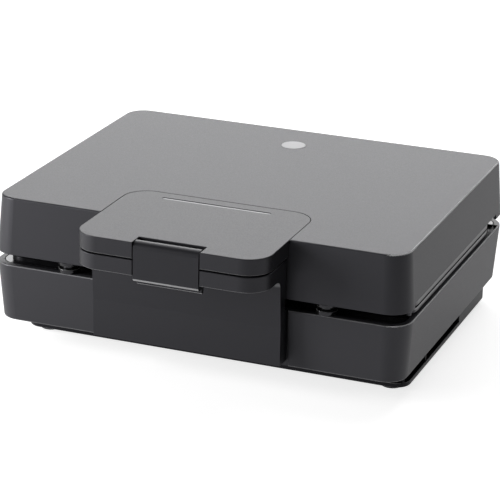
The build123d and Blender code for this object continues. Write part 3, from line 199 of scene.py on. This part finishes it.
def add_camera():
    """The camera of the photograph."""
    right, up, back = camera_axes()
    data = bpy.data.cameras.new("camera")
    data.sensor_width = SENSOR_WIDTH
    data.lens = SENSOR_WIDTH * FOCAL_IN_FRAMES
    camera = bpy.data.objects.new("camera", data)
    place = housing_middle + right * CAMERA_RIGHT + up * CAMERA_UP + back * CAMERA_DISTANCE
    turn = Matrix((right, up, back)).transposed().to_4x4()
    camera.matrix_world = Matrix.Translation(place) @ turn
    bpy.context.collection.objects.link(camera)
    bpy.context.scene.camera = camera


def rgba(colour, factor=1.0):
    """A colour with its channels scaled, and full alpha."""
    return (*(channel * factor for channel in colour), 1)


def node(tree, kind, **values):
    """A shader node with some of its properties set."""
    made = tree.nodes.new(kind)
    for name, value in values.items():
        setattr(made, name, value)
    return made


def feed(tree, socket, value):
    """Links an output to a socket, or sets the socket to a plain value."""
    if isinstance(value, bpy.types.NodeSocket):
        tree.links.new(value, socket)
    else:
        socket.default_value = value


def maths(tree, operation, *operands):
    """Works out one operation on values or outputs."""
    made = node(tree, "ShaderNodeMath", operation=operation)
    for socket, operand in zip(made.inputs, operands):
        feed(tree, socket, operand)
    return made.outputs[0]


def maths_on_all(tree, operation, sources):
    """Works an operation through a list of outputs, two at a time."""
    return functools.reduce(lambda first, second: maths(tree, operation, first, second), sources)


def mixed(tree, factor, first, second):
    """Blends two colours, or outputs that give them, by a factor."""
    made = node(tree, "ShaderNodeMix", data_type="RGBA")
    feed(tree, made.inputs["Factor"], factor)
    feed(tree, made.inputs["A"], first)
    feed(tree, made.inputs["B"], second)
    return made.outputs["Result"]


def ramp(tree, source, low, high, start=NOISE_LOW, end=NOISE_HIGH):
    """Maps one range of values, by default the noise's, to another."""
    made = node(tree, "ShaderNodeMapRange")
    made.inputs["From Min"].default_value = start
    made.inputs["From Max"].default_value = end
    made.inputs["To Min"].default_value = low
    made.inputs["To Max"].default_value = high
    tree.links.new(source, made.inputs["Value"])
    return made.outputs["Result"]


def grain(tree, cells, detail, stretch=None):
    """Noise in the object's own coordinates, its size in cells per metre."""
    place = node(tree, "ShaderNodeTexCoord").outputs["Object"]
    if stretch:
        shape = node(tree, "ShaderNodeMapping")
        shape.inputs["Scale"].default_value = stretch
        tree.links.new(place, shape.inputs["Vector"])
        place = shape.outputs["Vector"]
    noise = node(tree, "ShaderNodeTexNoise")
    noise.inputs["Scale"].default_value = cells
    noise.inputs["Detail"].default_value = detail
    tree.links.new(place, noise.inputs["Vector"])
    return noise.outputs["Fac"]


def bump(tree, shader, source, depth):
    """Adds a height to the surface's normal, in metres."""
    made = node(tree, "ShaderNodeBump")
    made.inputs["Distance"].default_value = depth
    made.inputs["Strength"].default_value = 1.0
    tree.links.new(source, made.inputs["Height"])
    tree.links.new(made.outputs["Normal"], shader.inputs["Normal"])


def new_material(name):
    """A node material with its tree and its surface shader."""
    material = bpy.data.materials.new(name)
    material.use_nodes = True
    tree = material.node_tree
    return material, tree, tree.nodes["Principled BSDF"]


def moulded(name, colour, spread, roughness, depth, cells, specular=PLASTIC_SPECULAR):
    """Plastic, rubber, ceramic or paint, with a fine texture and slight changes of tone and gloss."""
    material, tree, shader = new_material(name)
    fine = grain(tree, cells, FINE_DETAIL)
    broad = grain(tree, BROAD_CELLS, BROAD_DETAIL)
    tone = maths(tree, "ADD", ramp(tree, fine, 0, FINE_SHARE), ramp(tree, broad, 0, BROAD_SHARE))
    base = mixed(tree, tone, rgba(colour, 1 - spread), rgba(colour, 1 + spread))
    tree.links.new(base, shader.inputs["Base Color"])
    gloss = ramp(tree, fine, roughness - PLASTIC_ROUGHNESS_CHANGE, roughness + PLASTIC_ROUGHNESS_CHANGE)
    tree.links.new(gloss, shader.inputs["Roughness"])
    shader.inputs["Specular IOR Level"].default_value = specular
    shader.inputs["Specular Tint"].default_value = SPECULAR_TINT
    bump(tree, shader, fine, depth)
    return material


def metal(name, colour, roughness, depth, cells, stretch=None):
    """Metal with grain that may be drawn out along one axis."""
    material, tree, shader = new_material(name)
    noise = grain(tree, cells, METAL_DETAIL, stretch)
    base = mixed(tree, ramp(tree, noise, 0, 1), rgba(colour, METAL_DARKEST), rgba(colour))
    tree.links.new(base, shader.inputs["Base Color"])
    gloss = ramp(tree, noise, roughness - METAL_ROUGHNESS_CHANGE, roughness + METAL_ROUGHNESS_CHANGE)
    tree.links.new(gloss, shader.inputs["Roughness"])
    shader.inputs["Metallic"].default_value = 1.0
    bump(tree, shader, noise, depth)
    return material


def lay_over(material, colour, share):
    """Lays a colour over a material's own by a share."""
    tree = material.node_tree
    base = tree.nodes["Principled BSDF"].inputs["Base Color"]
    under = base.links[0].from_socket
    tree.links.new(mixed(tree, share, under, colour), base)


def band(tree, source, low, high, fade):
    """1 where a value lies between two limits and 0 outside them."""
    rise = ramp(tree, source, 0, 1, low - fade, low + fade)
    fall = ramp(tree, source, 1, 0, high - fade, high + fade)
    return maths(tree, "MULTIPLY", rise, fall)


def paint_round_highlights(material, colour, groups, fade):
    """Paints a lighter tone over a material as a painted highlight where its surface faces the way of one of
    the groups, each a list of bands.
    """
    tree = material.node_tree
    surface = node(tree, "ShaderNodeNewGeometry")
    facing = node(tree, "ShaderNodeVectorTransform")
    facing.vector_type = "NORMAL"
    facing.convert_from = "WORLD"
    facing.convert_to = "OBJECT"
    axes = node(tree, "ShaderNodeSeparateXYZ")
    tree.links.new(surface.outputs["True Normal"], facing.inputs[0])
    tree.links.new(facing.outputs[0], axes.inputs[0])
    shares = []
    for group in groups:
        bands = [band(tree, axes.outputs[axis], low, high, fade) for axis, low, high in group]
        shares.append(maths_on_all(tree, "MULTIPLY", bands))
    lay_over(material, rgba(colour), maths_on_all(tree, "MAXIMUM", shares))


def paint_plate_edge_tones_and_seam_shade(material, stops):
    """Paints a plate's outer side edges in bare-metal tones, with a painted shade line at the sealing plane
    and painted highlight lines beside it; the stops give the tone by distance from the sealing plane.
    """
    tree = material.node_tree
    shader = tree.nodes["Principled BSDF"]
    place = node(tree, "ShaderNodeTexCoord")
    axes = node(tree, "ShaderNodeSeparateXYZ")
    tree.links.new(place.outputs["Object"], axes.inputs[0])
    sideways = maths(tree, "ABSOLUTE", axes.outputs["X"])
    edge = ramp(tree, sideways, 0, 1, plate_side - PLATE_EDGE_DEPTH, plate_side - PLATE_EDGE_DEPTH / 2)
    apart = maths(tree, "ABSOLUTE", maths(tree, "SUBTRACT", axes.outputs["Z"], plate_seal))
    tones = node(tree, "ShaderNodeValToRGB")
    elements = tones.color_ramp.elements
    elements.remove(elements[0])
    for number, (distance, grey) in enumerate(stops):
        position = distance / PLATE_EDGE_RANGE
        stop = elements[0] if number == 0 else elements.new(position)
        stop.position = position
        stop.color = (grey, grey, grey, 1)
    tree.links.new(ramp(tree, apart, 0, 1, 0, PLATE_EDGE_RANGE), tones.inputs["Fac"])
    lay_over(material, tones.outputs["Color"], edge)
    # Painted shade: the specular level falls to nothing at the sealing plane
    seam_shade_specular = ramp(tree, apart, 0, PLATE_SPECULAR, PLATE_SEAM_HALF, PLATE_SEAM_FADE_END)
    tree.links.new(seam_shade_specular, shader.inputs["Specular IOR Level"])


def seen_rays(tree, glossy_share):
    """1 for camera and transmission rays, a share for glossy rays and 0 for the rest."""
    path = node(tree, "ShaderNodeLightPath").outputs
    glossy = maths(tree, "MULTIPLY", path["Is Glossy Ray"], glossy_share)
    return maths_on_all(tree, "MAXIMUM", [path["Is Camera Ray"], glossy, path["Is Transmission Ray"]])


def add_floor():
    """A wide pale floor that the object's soft shadow falls on."""
    corners = [(x * FLOOR_REACH, y * FLOOR_REACH, 0) for x, y in ((-1, -1), (1, -1), (1, 1), (-1, 1))]
    mesh = bpy.data.meshes.new("floor")
    mesh.from_pydata(corners, [], [(0, 1, 2, 3)])
    floor = bpy.data.objects.new("floor", mesh)
    bpy.context.collection.objects.link(floor)
    material = bpy.data.materials.new("floor_paper")
    material.use_nodes = True
    tree = material.node_tree
    tree.nodes.clear()
    out = node(tree, "ShaderNodeOutputMaterial")
    both = node(tree, "ShaderNodeAddShader")
    diffuse = node(tree, "ShaderNodeBsdfDiffuse")
    diffuse.inputs["Color"].default_value = (FLOOR_GREY, FLOOR_GREY, FLOOR_GREY, 1)
    glow = node(tree, "ShaderNodeEmission")
    strength = maths(tree, "MULTIPLY", seen_rays(tree, FLOOR_GLOSSY_SHARE), FLOOR_GLOW)
    tree.links.new(strength, glow.inputs["Strength"])
    tree.links.new(diffuse.outputs[0], both.inputs[0])
    tree.links.new(glow.outputs[0], both.inputs[1])
    tree.links.new(both.outputs[0], out.inputs["Surface"])
    mesh.materials.append(material)


def add_world():
    """A white background to the camera, a share of it in reflections, and a plain grey fill for the rest."""
    world = bpy.data.worlds.new("studio")
    bpy.context.scene.world = world
    world.use_nodes = True
    tree = world.node_tree
    back = tree.nodes["Background"]
    back.inputs["Color"].default_value = (1, 1, 1, 1)
    level = ramp(tree, seen_rays(tree, WORLD_GLOSSY_SHARE), WORLD_FILL, 1, 0, 1)
    tree.links.new(level, back.inputs["Strength"])


def add_softbox(name, place, target, size, power):
    """A large soft lamp that faces a point."""
    data = bpy.data.lights.new(name, "AREA")
    data.shape = "RECTANGLE"
    data.size = size[0]
    data.size_y = size[1]
    data.energy = power
    lamp = bpy.data.objects.new(name, data)
    lamp.location = place
    lamp.rotation_euler = (Vector(target) - Vector(place)).to_track_quat("-Z", "Y").to_euler()
    bpy.context.collection.objects.link(lamp)


finishes = {name: moulded(name, *values) for name, values in MOULDED_FINISHES.items()}
finishes.update({name: metal(name, *values) for name, values in METAL_FINISHES.items()})
# Painted highlights on rounded edges
for finish, colour, groups, fade in PAINTED_ROUND_HIGHLIGHTS:
    paint_round_highlights(finishes[finish], colour, groups, fade)
# Bare-metal tones with painted shade and highlight lines on the plates' edges
for finish, stops in PLATE_EDGE_BARE_AND_PAINTED_LIGHT_TONES.items():
    paint_plate_edge_tones_and_seam_shade(finishes[finish], stops)
for finish, names in FINISHED_NODES.items():
    for name in names:
        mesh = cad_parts[name].data
        mesh.materials.clear()
        mesh.materials.append(finishes[finish])

add_camera()
add_floor()
add_world()
for name, values in SOFTBOXES.items():
    add_softbox(name, *values)

bpy.context.scene.view_settings.view_transform = "Standard"
